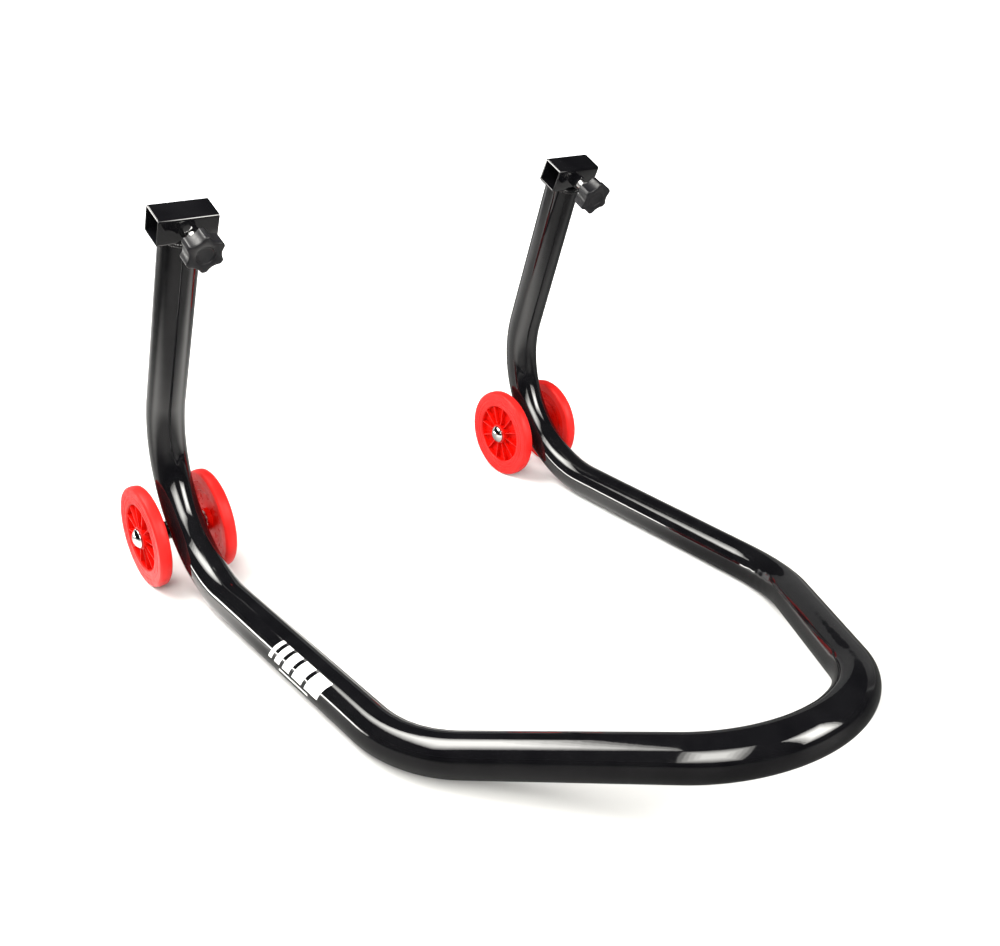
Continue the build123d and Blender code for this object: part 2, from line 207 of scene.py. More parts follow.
class Finish:
    """A node material whose colour, roughness and relief all vary over the surface."""

    # Nearly all of a noise texture's values lie between these.
    NOISE_LOW, NOISE_HIGH = 0.3, 0.7

    def __init__(self, name, metallic=0.0, ior=1.5, specular=0.5):
        self.material = bpy.data.materials.new(name)
        self.material.use_nodes = True
        self.tree = self.material.node_tree
        self.shader = self.tree.nodes["Principled BSDF"]
        self.shader.inputs["Metallic"].default_value = metallic
        self.shader.inputs["IOR"].default_value = ior
        self.shader.inputs["Specular IOR Level"].default_value = specular
        self.coordinates = self.tree.nodes.new("ShaderNodeTexCoord").outputs["Object"]
        self.relief = None

    def pattern(self, scale, detail, stretch=None):
        """Noise with so many grains to the metre, stretched by a factor along each axis."""
        source = self.coordinates
        if stretch is not None:
            mapping = self.tree.nodes.new("ShaderNodeMapping")
            mapping.inputs["Scale"].default_value = stretch
            self.tree.links.new(source, mapping.inputs["Vector"])
            source = mapping.outputs["Vector"]
        grain = self.tree.nodes.new("ShaderNodeTexNoise")
        grain.inputs["Scale"].default_value = scale
        grain.inputs["Detail"].default_value = detail
        self.tree.links.new(source, grain.inputs["Vector"])
        return grain.outputs["Fac"]

    def colour(self, dark, light, scale):
        """Colour that drifts between two tones."""
        ramp = self.tree.nodes.new("ShaderNodeValToRGB")
        ramp.color_ramp.elements[0].position = self.NOISE_LOW
        ramp.color_ramp.elements[0].color = (*dark, 1)
        ramp.color_ramp.elements[1].position = self.NOISE_HIGH
        ramp.color_ramp.elements[1].color = (*light, 1)
        self.tree.links.new(self.pattern(scale, detail=4.0), ramp.inputs["Fac"])
        self.tree.links.new(ramp.outputs["Color"], self.shader.inputs["Base Color"])

    def roughness(self, low, high, scale):
        """Roughness that drifts between two values."""
        spread = self.tree.nodes.new("ShaderNodeMapRange")
        spread.inputs["From Min"].default_value = self.NOISE_LOW
        spread.inputs["From Max"].default_value = self.NOISE_HIGH
        spread.inputs["To Min"].default_value = low
        spread.inputs["To Max"].default_value = high
        self.tree.links.new(self.pattern(scale, detail=3.0), spread.inputs["Value"])
        self.tree.links.new(spread.outputs["Result"], self.shader.inputs["Roughness"])

    def bump(self, scale, depth, detail=2.0, stretch=None):
        """Relief of about this depth in metres, laid over any relief there already."""
        bump = self.tree.nodes.new("ShaderNodeBump")
        bump.inputs["Distance"].default_value = depth
        self.tree.links.new(self.pattern(scale, detail, stretch), bump.inputs["Height"])
        if self.relief is not None:
            self.tree.links.new(self.relief, bump.inputs["Normal"])
        self.relief = bump.outputs["Normal"]
        self.tree.links.new(self.relief, self.shader.inputs["Normal"])


def black_paint():
    """Gloss black powder coat with a faint orange peel and long soft waves."""
    finish = Finish("black_paint_finish", ior=1.52)
    finish.colour((0.0022, 0.0022, 0.0028), (0.0045, 0.0045, 0.0052), 38)
    finish.roughness(0.035, 0.075, 60)
    finish.bump(90, 0.05 * MM, detail=1.0)
    finish.bump(520, 0.006 * MM, detail=1.0)
    return finish.material


def weld_paint():
    """The same paint where it lies thicker and rougher over a weld bead."""
    finish = Finish("weld_paint_finish", ior=1.52)
    finish.colour((0.0022, 0.0022, 0.0028), (0.006, 0.006, 0.0066), 160)
    finish.roughness(0.08, 0.2, 300)
    finish.bump(450, 0.35 * MM, detail=3.0)
    return finish.material


def knob_plastic():
    """Satin black moulded plastic with a fine spark-eroded grain."""
    finish = Finish("knob_plastic_finish", ior=1.45, specular=0.35)
    finish.colour((0.005, 0.005, 0.0062), (0.0095, 0.0093, 0.0108), 120)
    finish.roughness(0.34, 0.46, 240)
    finish.bump(2600, 0.02 * MM)
    return finish.material


def tread_plastic():
    """Salmon-red plastic of the wheel's ring and tread, slightly scuffed."""
    finish = Finish("tread_plastic_finish", ior=1.45, specular=0.15)
    finish.colour((0.42, 0.0085, 0.007), (0.54, 0.014, 0.012), 55)
    finish.roughness(0.33, 0.5, 130)
    finish.bump(1500, 0.015 * MM)
    finish.bump(240, 0.01 * MM, detail=3.0, stretch=(0.25, 1, 1))
    return finish.material


def web_painted_shade_plastic():
    """Painted shade: the wheel's recessed web and ribs in a deeper red copy of the same plastic,
    glossier.
    """
    finish = Finish("web_painted_shade_plastic_finish", ior=1.45, specular=0.05)
    finish.colour((0.42, 0.002, 0.001), (0.54, 0.004, 0.0015), 70)
    finish.roughness(0.24, 0.36, 150)
    finish.bump(900, 0.004 * MM)
    return finish.material


def chrome():
    """Polished chrome with faint stains and hairlines."""
    finish = Finish("chrome_finish", metallic=1.0)
    finish.colour((0.44, 0.44, 0.45), (0.56, 0.55, 0.52), 140)
    finish.roughness(0.04, 0.1, 320)
    finish.bump(700, 0.004 * MM, stretch=(1, 6, 1))
    return finish.material


def zinc():
    """Bright zinc plate, cloudy and slightly warm."""
    finish = Finish("zinc_finish", metallic=1.0)
    finish.colour((0.55, 0.54, 0.52), (0.72, 0.72, 0.73), 260)
    finish.roughness(0.2, 0.38, 400)
    finish.bump(1800, 0.006 * MM)
    return finish.material


def printed_film():
    """White print with a faintly uneven surface and thin spots."""
    finish = Finish("print_finish", ior=1.45)
    finish.colour((0.80, 0.80, 0.81), (0.88, 0.88, 0.88), 210)
    finish.roughness(0.3, 0.42, 180)
    finish.bump(900, 0.008 * MM)
    return finish.material


paint, welded, moulded = black_paint(), weld_paint(), knob_plastic()
tread_red, web_painted_shade_red = tread_plastic(), web_painted_shade_plastic()
chromed, zinced, printed = chrome(), zinc(), printed_film()

# ---------------------------------------------------------------- frame tube

ARM_OVERRUN = 24 * MM  # the line runs on past the arm's top, until the socket cuts it
BEND_FLATTENING = 0.22 * MM
BEND_RIPPLE = 0.13 * MM
RIPPLE_PHASE = 38  # radians of ripple along one bend


def mirrored(point):
    """The same place on the other side of the stand."""
    return Vector((-point.x, point.y, point.z))


def tube_route(step=2.5 * MM):
    """Stations down the bent centreline: (place, direction, way to the bend's centre, share)."""
    corners = [ARM_TOP, WHEEL_CORNER, FLOOR_CORNER, HANDLE_CORNER]
    corners += [mirrored(corner) for corner in corners[2::-1]]
    start = corners[0] + (corners[0] - corners[1]).normalized() * ARM_OVERRUN
    end = mirrored(start)
    corners = [start, *corners[1:-1], end]
    stations, last = [], start
    for k, radius in enumerate(BEND_RADII, 1):
        back = (corners[k - 1] - corners[k]).normalized()
        ahead = (corners[k + 1] - corners[k]).normalized()
        turn = math.pi - back.angle(ahead)
        cut = radius * math.tan(turn / 2)
        centre = corners[k] + (back + ahead).normalized() * radius / math.cos(turn / 2)
        first, final = corners[k] + back * cut, corners[k] + ahead * cut
        stations += straight_stations(last, first, step)
        spoke = (first - centre).normalized()
        count = max(2, round(radius * turn / step))
        for j in range(count):
            angle = turn * j / count
            out = spoke * math.cos(angle) - back * math.sin(angle)
            along = -spoke * math.sin(angle) - back * math.cos(angle)
            stations.append((centre + out * radius, along, -out, j / count))
        last = final
    stations += straight_stations(last, end, step)
    stations.append((end, (end - last).normalized(), None, 0.0))
    return stations


def straight_stations(first, final, step):
    """Stations along one straight run, without its last point."""
    run = final - first
    count = max(2, round(run.length / (4 * step)))
    return [(first + run * k / count, run.normalized(), None, 0.0) for k in range(count)]


def tube_radius(direction, inward, share):
    """Outer radius in a direction: bends are slightly flat outside and rippled inside."""
    if inward is None:
        return TUBE_R
    swell = math.sin(math.pi * share) ** 2
    facing = direction.dot(inward)
    flat = BEND_FLATTENING * swell * facing**2
    ripple = BEND_RIPPLE * swell * max(0.0, facing) ** 2 * math.sin(share * RIPPLE_PHASE)
    return TUBE_R - flat + ripple


def socket_frame(name):
    """Axes of one side's socket: Z along its clamp screw, the origin on the screw's face."""
    face = joints[f"{name}_knob_turn"]["pos_m"]
    return axes(face, (1, 0, 0), joints[f"{name}_screw_travel"]["axis"])


def cut_to_socket(points, along, name):
    """Slides a ring of points along the arm until they lie in the socket's underside."""
    matrix = socket_frame(name)
    up = matrix.col[1].to_3d()
    base = matrix @ Vector((0, -SOCKET_SIZE / 2, -SOCKET_SIZE / 2))
    return [point + along * ((base - point).dot(up) / along.dot(up)) for point in points]


def frame_tube():
    """The bent tube, hollow, with both ends cut flush with the sockets' undersides."""
    around = 96
    stations = tube_route()
    sideways = Vector((1, 0, 0))
    outer, inner = [], []
    for place, along, inward, share in stations:
        sideways = (sideways - along * sideways.dot(along)).normalized()
        other = along.cross(sideways)
        outer_ring, inner_ring = [], []
        for k in range(around):
            turn = 2 * math.pi * k / around
            direction = sideways * math.cos(turn) + other * math.sin(turn)
            radius = tube_radius(direction, inward, share)
            outer_ring.append(place + direction * radius)
            inner_ring.append(place + direction * (TUBE_R - TUBE_WALL))
        outer.append(outer_ring)
        inner.append(inner_ring)
    for rings in (outer, inner):
        rings[0] = cut_to_socket(rings[0], stations[0][1], "right")
        rings[-1] = cut_to_socket(rings[-1], stations[-1][1], "left")
    bm = bmesh.new()
    add_skin(bm, outer + inner[::-1], closed=True)
    return new_piece("frame_tube", bm)


belongs(frame_tube(), "frame", "black_paint", paint, "main_frame_tube")

# ---------------------------------------------------------------- sockets

BEAD_R = 1.9 * MM
BEAD_RIPPLE = 0.45 * MM
BEAD_WANDER = 0.5 * MM
RIPPLE_COUNT = 21


def square_section(size, corner_r, steps=6):
    """Points of a square with round corners, in order."""
    half = size / 2 - corner_r
    section = []
    for k, corner in enumerate(((1, 1), (-1, 1), (-1, -1), (1, -1))):
        centre = Vector(corner) * half
        for step in range(steps + 1):
            turn = math.pi / 2 * (k + step / steps)
            section.append(centre + Vector((math.cos(turn), math.sin(turn))) * corner_r)
    return section


def socket_piece(name):
    """Square socket tube with sawn ends, softened by the paint on their edges."""
    lip, bore_bevel, least_corner_r, steps = 0.7 * MM, 0.3 * MM, 0.6 * MM, 5
    reach = SOCKET_LENGTH / 2
    stops = []
    for step in range(steps + 1):
        turn = math.pi / 2 * step / steps
        stops.append((reach - lip + lip * math.sin(turn), lip * (1 - math.cos(turn))))
    stops += [(reach, SOCKET_WALL - bore_bevel), (reach - bore_bevel, SOCKET_WALL)]
    stops += [(-x, inset) for x, inset in stops[::-1]]
    rings = []
    for x, inset in stops:
        corner_r = max(SOCKET_CORNER_R - inset, least_corner_r)
        section = square_section(SOCKET_SIZE - 2 * inset, corner_r)
        rings.append([(x, point.x, point.y) for point in section])
    bm = bmesh.new()
    add_skin(bm, rings, closed=True)
    piece = new_piece(f"{name}_socket", bm)
    return placed(piece, socket_frame(name) @ Matrix.Translation((0, 0, -SOCKET_SIZE / 2)))


def socket_bead(name, side):
    """Hand-laid weld bead round the arm's top, in overlapping ripples."""
    around, section = 220, 14
    sunk_in_tube, sunk_below_socket = 0.2 * MM, 0.4 * MM
    rings = []
    for k in range(around):
        turn = 2 * math.pi * k / around
        ripple = abs(math.sin(turn * RIPPLE_COUNT + 0.6 * math.sin(3 * turn)))
        wander = noise.noise(Vector((3 * math.cos(turn), 3 * math.sin(turn), 7 * side)))
        bead_r = BEAD_R + BEAD_RIPPLE * ripple + BEAD_WANDER * wander
        ring = []
        for j in range(section):
            lift = 2 * math.pi * j / section
            reach = TUBE_R - sunk_in_tube + bead_r * math.cos(lift)
            height = bead_r * math.sin(lift) - sunk_below_socket
            ring.append((reach * math.cos(turn), height, reach * math.sin(turn)))
        rings.append(ring)
    bm = bmesh.new()
    add_skin(bm, rings, closed=True)
    piece = new_piece(f"{name}_socket_bead", bm, sharp=math.pi)
    under = (0, -SOCKET_SIZE / 2, -SOCKET_SIZE / 2 - SOCKET_SETBACK)
    return placed(piece, socket_frame(name) @ Matrix.Translation(under))


for name, side in SIDES.items():
    belongs(socket_piece(name), "frame", "black_paint", paint, f"{name}_head_socket")
    belongs(socket_bead(name, side), "frame", "black_paint", welded, f"{name}_socket_weld")

# ---------------------------------------------------------------- clamp screws and knobs

BORE_PLAY = 0.05 * MM
NUT_LEVELS = (0, 0.35 * MM, 0.9 * MM)
NUT_END_R = 1.02 * NUT_ACROSS_FLATS / 2
NUT_END_SLOPE = 1.7
NUT_BORE_BEVEL = 0.7 * MM
THREAD_PLAY = 0.02 * MM
THREAD_DEPTH = 0.68 * MM
TIP_BEVEL = 1.1 * MM
HEAD_BEVEL = 0.6 * MM
SCALLOP_REACH = 26.7 * MM
SCALLOP_R = 12.5 * MM
SCALLOP_BLEND = 1.5 * MM


def off_sixth(turn):
    """Angle from the middle of the nearest of six equal sectors."""
    sector = math.pi / 3
    return (turn + sector / 2) % sector - sector / 2


def hexagon_radius(turn, across_flats):
    """Distance from a hexagon's middle to its edge."""
    return across_flats / 2 / math.cos(off_sixth(turn))


def nut_piece(name, start):
    """Hexagon nut whose corners are turned off at both ends, with a bevelled bore."""
    around = 96
    rings = []
    for height in (*NUT_LEVELS, *(NUT_HEIGHT - level for level in NUT_LEVELS[::-1])):
        limit = NUT_END_R + NUT_END_SLOPE * min(height, NUT_HEIGHT - height)
        rings.append(
            level_ring(
                lambda turn: min(hexagon_radius(turn, NUT_ACROSS_FLATS), limit),
                start + height,
                around,
            )
        )
    bore, mouth = SCREW_R + BORE_PLAY, SCREW_R + BORE_PLAY + NUT_BORE_BEVEL
    rings.append(circle_ring(mouth, start + NUT_HEIGHT, around))
    rings.append(circle_ring(bore, start + NUT_HEIGHT - NUT_BORE_BEVEL, around))
    rings.append(circle_ring(bore, start + NUT_BORE_BEVEL, around))
    rings.append(circle_ring(mouth, start, around))
    bm = bmesh.new()
    add_skin(bm, rings, closed=True)
    return new_piece(name, bm, sharp=math.radians(25))


def thread_radius(turn, height, tip):
    """Radius of the screw: a groove runs round its shank, and its tip is bevelled."""
    phase = (height / SCREW_PITCH - turn / (2 * math.pi)) % 1.0
    groove = min(1.0, max(0.0, 1.25 - abs(phase - 0.5) * 2.6))
    shank = SCREW_R - THREAD_PLAY - THREAD_DEPTH * groove
    return min(shank, SCREW_R - TIP_BEVEL + (height - tip))


def screw_piece(name, tip, seat):
    """M8 screw with a real helical thread from its tip to the head buried in the knob."""
    around, rings_a_turn = 48, 10
    steps = round((seat - tip) / (SCREW_PITCH / rings_a_turn))
    rings = []
    for k in range(steps + 1):
        height = tip + (seat - tip) * k / steps
        rings.append(level_ring(lambda turn: thread_radius(turn, height, tip), height, around))
    top = seat + SCREW_HEAD_HEIGHT
    rings.append(circle_ring(SCREW_HEAD_R, seat, around))
    rings.append(circle_ring(SCREW_HEAD_R, top - HEAD_BEVEL, around))
    rings.append(circle_ring(SCREW_HEAD_R - HEAD_BEVEL, top, around))
    bm = bmesh.new()
    add_skin(bm, rings)
    return new_piece(name, bm, sharp=math.radians(50))


def knob_outline_radius(turn):
    """Radius of the six-lobed knob: a circle with scallops, blended where they meet."""
    off = off_sixth(turn)
    across = SCALLOP_REACH * math.sin(abs(off))
    if across >= SCALLOP_R:
        return KNOB_R
    cut = SCALLOP_REACH * math.cos(off) - math.sqrt(SCALLOP_R**2 - across**2)
    mix = max(0.0, min(1.0, 0.5 + (cut - KNOB_R) / (2 * SCALLOP_BLEND)))
    return cut * (1 - mix) + KNOB_R * mix - SCALLOP_BLEND * mix * (1 - mix)


def knob_piece(name, back):
    """Six-lobed knob: drafted flanks, rolled edges, a raised face and the cap's pocket."""
    around, steps = 288, 6
    edge_r, draft = 1.3 * MM, 0.25 * MM
    roll = []
    for step in range(steps + 1):
        turn = math.pi / 2 * step / steps
        roll.append((edge_r * (1 - math.sin(turn)), edge_r * (1 - math.cos(turn))))
    flank = [(up, inset + draft * (1 - up / KNOB_THICKNESS)) for inset, up in roll]
    flank += [(KNOB_THICKNESS - up, inset) for inset, up in roll[::-1]]
    rings = []
    for up, inset in flank:
        rings.append(level_ring(lambda turn: knob_outline_radius(turn) - inset, back + up, around))
    # In millimetres: radius, then height over the knob's back.
    face = KNOB_THICKNESS / MM
    rim = [(9.3, face), (9.0, face - 0.2), (8.5, face - 0.2), (8.25, face - 0.3)]
    pocket = [(8.05, face - 0.55), (8.03, face - 2.8), (6.6, face - 2.8)]
    screw_hole = [(6.55, KNOB_SEAT / MM), (4.05, KNOB_SEAT / MM), (4.05, 0.4), (4.5, 0.0)]
    back_groove = [(9.0, 0.0), (9.3, 0.5), (11.2, 0.5), (11.5, 0.0)]
    for radius, height in rim + pocket + screw_hole + back_groove:
        rings.append(circle_ring(radius * MM, back + height * MM, around))
    bm = bmesh.new()
    add_skin(bm, rings, closed=True)
    return new_piece(name, bm, sharp=math.radians(42))


def cap_piece(name, back):
    """Dished cover in the knob's pocket, with a fine raised rim."""
    setback, thickness, rim, dish, edge_r = 0.8 * MM, 2 * MM, 0.7 * MM, 0.5 * MM, 0.25 * MM
    front = back + KNOB_THICKNESS - setback
    seat = front - thickness
    outline = [(0, seat), (CAP_R, seat), (CAP_R, front), (CAP_R - rim, front)]
    outline += [(CAP_R - rim - dish, front - 0.7 * dish), (0.3 * CAP_R, front - dish)]
    outline += [(0, front - dish)]
    bm = bmesh.new()
    add_turned(bm, rounded_outline(outline, edge_r))
    return new_piece(name, bm)


for name in SIDES:
    at = socket_frame(name)
    back = KNOB_STANDOFF[name]
    nut = placed(nut_piece(f"{name}_welded_nut", 0), at)
    belongs(nut, "frame", "black_paint", paint, f"{name}_weld_nut")
    lock = placed(nut_piece(f"{name}_lock_nut", back - NUT_HEIGHT), at)
    belongs(lock, f"{name}_knob", "zinc_plate", zinced, f"{name}_jam_nut")
    screw = placed(screw_piece(f"{name}_threaded_screw", SCREW_TIP, back + KNOB_SEAT), at)
    belongs(screw, f"{name}_screw", "zinc_plate", zinced, f"{name}_clamp_screw")
    knob = placed(knob_piece(f"{name}_hand_knob", back), at)
    belongs(knob, f"{name}_knob", "black_plastic", moulded, f"{name}_star_knob")
    cover = placed(cap_piece(f"{name}_knob_cover", back), at)
    belongs(cover, f"{name}_knob", "black_plastic", moulded, f"{name}_knob_cap")

# ---------------------------------------------------------------- axles and wheels

SAWN_EDGE_R = 0.8 * MM
AXLE_CAP_RIM = 1.4 * MM
AXLE_CAP_HEIGHT = 5.8 * MM
FIRST_RIB = {"outer": 0.13, "inner": 0.33}
MARK_TURNS = (0.7, 2.8, 4.9)
MARK_RING_R = 44.4 * MM
MARK_R = 0.8 * MM
MARK_HEIGHT = 0.1 * MM


def axle_frame(name, outward):
    """Axes of an axle end: Z points out along the axle from the middle of its sleeve."""
    middle = joints[f"{name}_outer_wheel_spin"]["pos_m"]
    return axes(middle, (0, 1, 0), (outward, 0, 0))


def sleeve_piece(name):
    """Painted sleeve round the axle, its sawn ends softened."""
    outline = [(AXLE_R, -SLEEVE_HALF), (SLEEVE_R, -SLEEVE_HALF)]
    outline += [(SLEEVE_R, SLEEVE_HALF), (AXLE_R, SLEEVE_HALF)]
    bm = bmesh.new()
    add_turned(bm, rounded_outline(outline, SAWN_EDGE_R))
    return placed(new_piece(f"{name}_sleeve", bm), axle_frame(name, 1))


def dome_piece(name, axle):
    """Push-on axle cap: a thin turned rim, a bright dome and a gripping plate inside."""
    base, wall, play = AXLE_CAP_START, 0.8 * MM, 0.02 * MM
    rim, top = base + AXLE_CAP_RIM, base + AXLE_CAP_HEIGHT
    outer = dome_arc(AXLE_CAP_R - 0.25 * MM, rim, top)
    inner = dome_arc(AXLE_CAP_R - wall, rim, top - wall)
    outline = [(AXLE_CAP_R - 0.15 * MM, base), (AXLE_CAP_R, base + 0.2 * MM)]
    outline += [(AXLE_CAP_R, rim - 0.25 * MM), (AXLE_CAP_R - 0.12 * MM, rim - 0.05 * MM)]
    outline += outer + inner[::-1] + [(AXLE_CAP_R - wall, base + wall)]
    outline += [(AXLE_R + play, base + wall), (AXLE_R + play, base)]
    bm = bmesh.new()
    add_turned(bm, outline, around=128)
    return placed(new_piece(name, bm), axle)


def dome_arc(radius, base, top, steps=20):
    """Half section of a spherical dome from its rim to its pole."""
    height = top - base
    sphere = (radius**2 + height**2) / (2 * height)
    half = math.asin(radius / sphere)
    turns = [half * (1 - step / steps) for step in range(steps + 1)]
    return [(sphere * math.sin(turn), top - sphere * (1 - math.cos(turn))) for turn in turns]


# Half section of a wheel in millimetres: radius, then width from the tread's middle.
FACE = 6.0
WEB_FRONT, WEB_BACK = 0.6, -1.6
RECESS_R = 32.5
GROOVES = (37.2, 41.0)
GROOVE_WIDTH, GROOVE_DEPTH = 0.9, 0.5
SHOULDER_R = 47.6
TREAD_HALF, TREAD_CROWN, TREAD_INSET = 4.5, 0.7, 0.05
BACK_STEPS = ((43.5, 0.0), (39.5, 1.2), (35.0, 2.3), (30.0, 3.3))
RIB_COUNT = 12
RIB_TOP = 5.0


def wheel_outline():
    """Corners of the wheel's half section, round from the bore's back."""
    hub_back, hub_front = (HUB_START - WHEEL_OFFSET) / MM, (HUB_END - WHEEL_OFFSET) / MM
    bore, hub = (AXLE_R / MM + 0.05), HUB_R / MM
    points = [(bore, hub_back), (bore, hub_front), (hub, hub_front), (hub + 0.6, WEB_FRONT)]
    points += [(RECESS_R, WEB_FRONT), (RECESS_R + 0.3, FACE - 1.2), (RECESS_R + 1.2, FACE)]
    for radius in GROOVES:
        points += [(radius, FACE), (radius + GROOVE_WIDTH / 2, FACE - GROOVE_DEPTH)]
        points += [(radius + GROOVE_WIDTH, FACE)]
    points += [(SHOULDER_R, FACE)]
    for step in range(9):
        share = 1 - step / 4
        crown_r = WHEEL_R / MM - TREAD_INSET - TREAD_CROWN * share**2
        points.append((crown_r, TREAD_HALF * share))
    points += [(SHOULDER_R, -FACE)]
    depth = 0.0
    for radius, deeper in BACK_STEPS:
        points += [(radius, -FACE + depth), (radius - 0.3, -FACE + deeper)]
        depth = deeper
    points += [(BACK_STEPS[-1][0] - 4, WEB_BACK), (hub, WEB_BACK), (hub, hub_back)]
    return points


def add_rib(bm, turn):
    """A thin drafted rib from the hub to the recess wall, with softened edges."""
    inner, outer = HUB_R - 0.8 * MM, (RECESS_R + 0.5) * MM
    foot, head = 0.72 * MM, 0.46 * MM
    low, high = (WEB_FRONT - 0.3) * MM, RIB_TOP * MM
    spin = Matrix.Rotation(turn, 3, "Z")
    verts = {}
    for x in (inner, outer):
        for height, half in ((low, foot), (high, head)):
            for way in (-1, 1):
                place = spin @ Vector((x, way * half, height))
                verts[x, height, way] = bm.verts.new(place)
    quads = []
    for x in (inner, outer):
        quads.append([verts[x, low, -1], verts[x, low, 1], verts[x, high, 1], verts[x, high, -1]])
    for height in (low, high):
        ends = [verts[inner, height, way] for way in (-1, 1)]
        quads.append(ends + [verts[outer, height, way] for way in (1, -1)])
    for way in (-1, 1):
        ends = [verts[inner, height, way] for height in (low, high)]
        quads.append(ends + [verts[outer, height, way] for height in (high, low)])
    faces = [bm.faces.new(quad) for quad in quads]
    edges = list(dict.fromkeys(edge for face in faces for edge in face.edges))
    bmesh.ops.bevel(bm, geom=edges, offset=0.16 * MM, segments=2, affect="EDGES", profile=0.5)


def add_mark(bm, turn):
    """A small round moulding mark standing on the wheel's face."""
    rings = []
    for share, lift in ((1.0, -0.2 * MM), (1.0, 0.5 * MARK_HEIGHT), (0.8, MARK_HEIGHT)):
        rings.append(circle_ring(MARK_R * share, FACE * MM + lift, 16))
    place = Matrix.Rotation(turn, 4, "Z") @ Matrix.Translation((MARK_RING_R, 0, 0))
    add_skin(bm, [[place @ Vector(point) for point in ring] for ring in rings])


def wheel_piece(name, axle, first_rib):
    """One-piece wheel: turned body, twelve ribs and the marks that moulding leaves."""
    bm = bmesh.new()
    outline = [(radius * MM, width * MM) for radius, width in wheel_outline()]
    add_turned(bm, rounded_outline(outline, 0.45 * MM, steps=3), around=144)
    bmesh.ops.recalc_face_normals(bm, faces=bm.faces)
    for k in range(RIB_COUNT):
        add_rib(bm, first_rib + 2 * math.pi * k / RIB_COUNT)
    for turn in MARK_TURNS:
        add_mark(bm, first_rib + turn)
    # Lit and shaded copies of one plastic: the ring, the tread and the rib tops take the lighter
    # copy, and faces in the front recess and on the dished back take the darker copy as painted
    # shade.
    for face in bm.faces:
        middle = face.calc_center_median()
        recessed = middle.xy.length < (RECESS_R + 0.25) * MM and middle.z > 0
        dished = middle.xy.length < BACK_STEPS[1][0] * MM and middle.z < 0
        on_top = middle.z > (RIB_TOP - 0.3) * MM
        face.material_index = 1 if dished or (recessed and not on_top) else 0
    piece = new_piece(name, bm, sharp=math.radians(50))
    return placed(piece, axle @ Matrix.Translation((0, 0, WHEEL_OFFSET)))


for name, side in SIDES.items():
    belongs(sleeve_piece(name), "frame", "black_paint", paint, f"{name}_axle_sleeve")
    for where, outward in (("outer", side), ("inner", -side)):
        axle = axle_frame(name, outward)
        wheel = wheel_piece(f"{name}_{where}_roller", axle, FIRST_RIB[where])
        # The tread copy, then the darker copy of the same plastic that carries the painted shade.
        wheel.data.materials.append(tread_red)
        wheel.data.materials.append(web_painted_shade_red)
        belongs(wheel, f"{name}_{where}_wheel", "red_plastic", None, f"{name}_{where}_wheel")
        dome = dome_piece(f"{name}_{where}_dome", axle)
        belongs(dome, "frame", "chrome_plate", chromed, f"{name}_{where}_axle_cap")

# ---------------------------------------------------------------- rail graphic

BAR_WIDTHS = (20 * MM, 15 * MM, 11 * MM, 8 * MM, 5 * MM)
BAR_GAP = 5 * MM
BAR_HEIGHT = 19 * MM
BAR_SLANT = 8 * MM
STRIPE_START = 23 * MM
STRIPE_LENGTH = 46 * MM
STRIPE_HEIGHT = 1.8 * MM
STRIPE_GAP = 4 * MM
FILM = 0.12 * MM


def rail_axes():
    """Start of the graphic on the left rail, the way along it and the way out of the tube."""
    start = mirrored(WHEEL_CORNER)
    along = (mirrored(FLOOR_CORNER) - start).normalized()
    out = Vector((-math.cos(GRAPHIC_ANGLE), 0, math.sin(GRAPHIC_ANGLE)))
    out = (out - along * out.dot(along)).normalized()
    return start + along * GRAPHIC_START, along, out


def add_patch(bm, corner, length, height, slant):
    """A parallelogram of film wrapped round the rail, closed by its edge and its back."""
    start, along, out = rail_axes()
    down = along.cross(out)
    columns, rows = 8, 12
    layers = []
    for lift in (FILM, -FILM):
        layer = []
        for row in range(rows + 1):
            share = row / rows
            line = []
            for column in range(columns + 1):
                ahead = corner[0] + length * column / columns + slant * share
                turn = (corner[1] + height * share) / TUBE_R
                spoke = out * math.cos(turn) + down * math.sin(turn)
                line.append(bm.verts.new(start - along * ahead + spoke * (TUBE_R + lift)))
            layer.append(line)
        layers.append(layer)
        for upper, lower in zip(layer, layer[1:]):
            for k in range(columns):
                bm.faces.new((upper[k], upper[k + 1], lower[k + 1], lower[k]))
    front, behind = (patch_border(layer) for layer in layers)
    for k in range(len(front)):
        after = (k + 1) % len(front)
        bm.faces.new((front[k], front[after], behind[after], behind[k]))


def patch_border(layer):
    """The points round a patch's edge, in order."""
    right = [line[-1] for line in layer[1:-1]]
    left = [line[0] for line in layer[1:-1]]
    return layer[0] + right + layer[-1][::-1] + left[::-1]


def rail_graphic():
    """The printed bars and stripe."""
    bm = bmesh.new()
    ahead = 0.0
    for width in BAR_WIDTHS:
        add_patch(bm, (ahead, -BAR_HEIGHT / 2), width, BAR_HEIGHT, BAR_SLANT)
        ahead += width + BAR_GAP
    stripe = (STRIPE_START, BAR_HEIGHT / 2 + STRIPE_GAP - STRIPE_HEIGHT / 2)
    add_patch(bm, stripe, STRIPE_LENGTH, STRIPE_HEIGHT, 0.0)
    return new_piece("printed_bars", bm)


belongs(rail_graphic(), "frame", "white_print", printed, "rail_graphic")

# ---------------------------------------------------------------- CAD nodes that stay

kept = {"sleeve_weld": welded, "axle_rod": zinced, "outer_washer": zinced, "inner_washer": zinced}
for name in SIDES:
    for node, finish in kept.items():
        mesh = frame["nodes"][f"{name}_{node}"].data
        mesh.materials.clear()
        mesh.materials.append(finish)
        mesh.shade_smooth()

# ---------------------------------------------------------------- stage, lights and camera

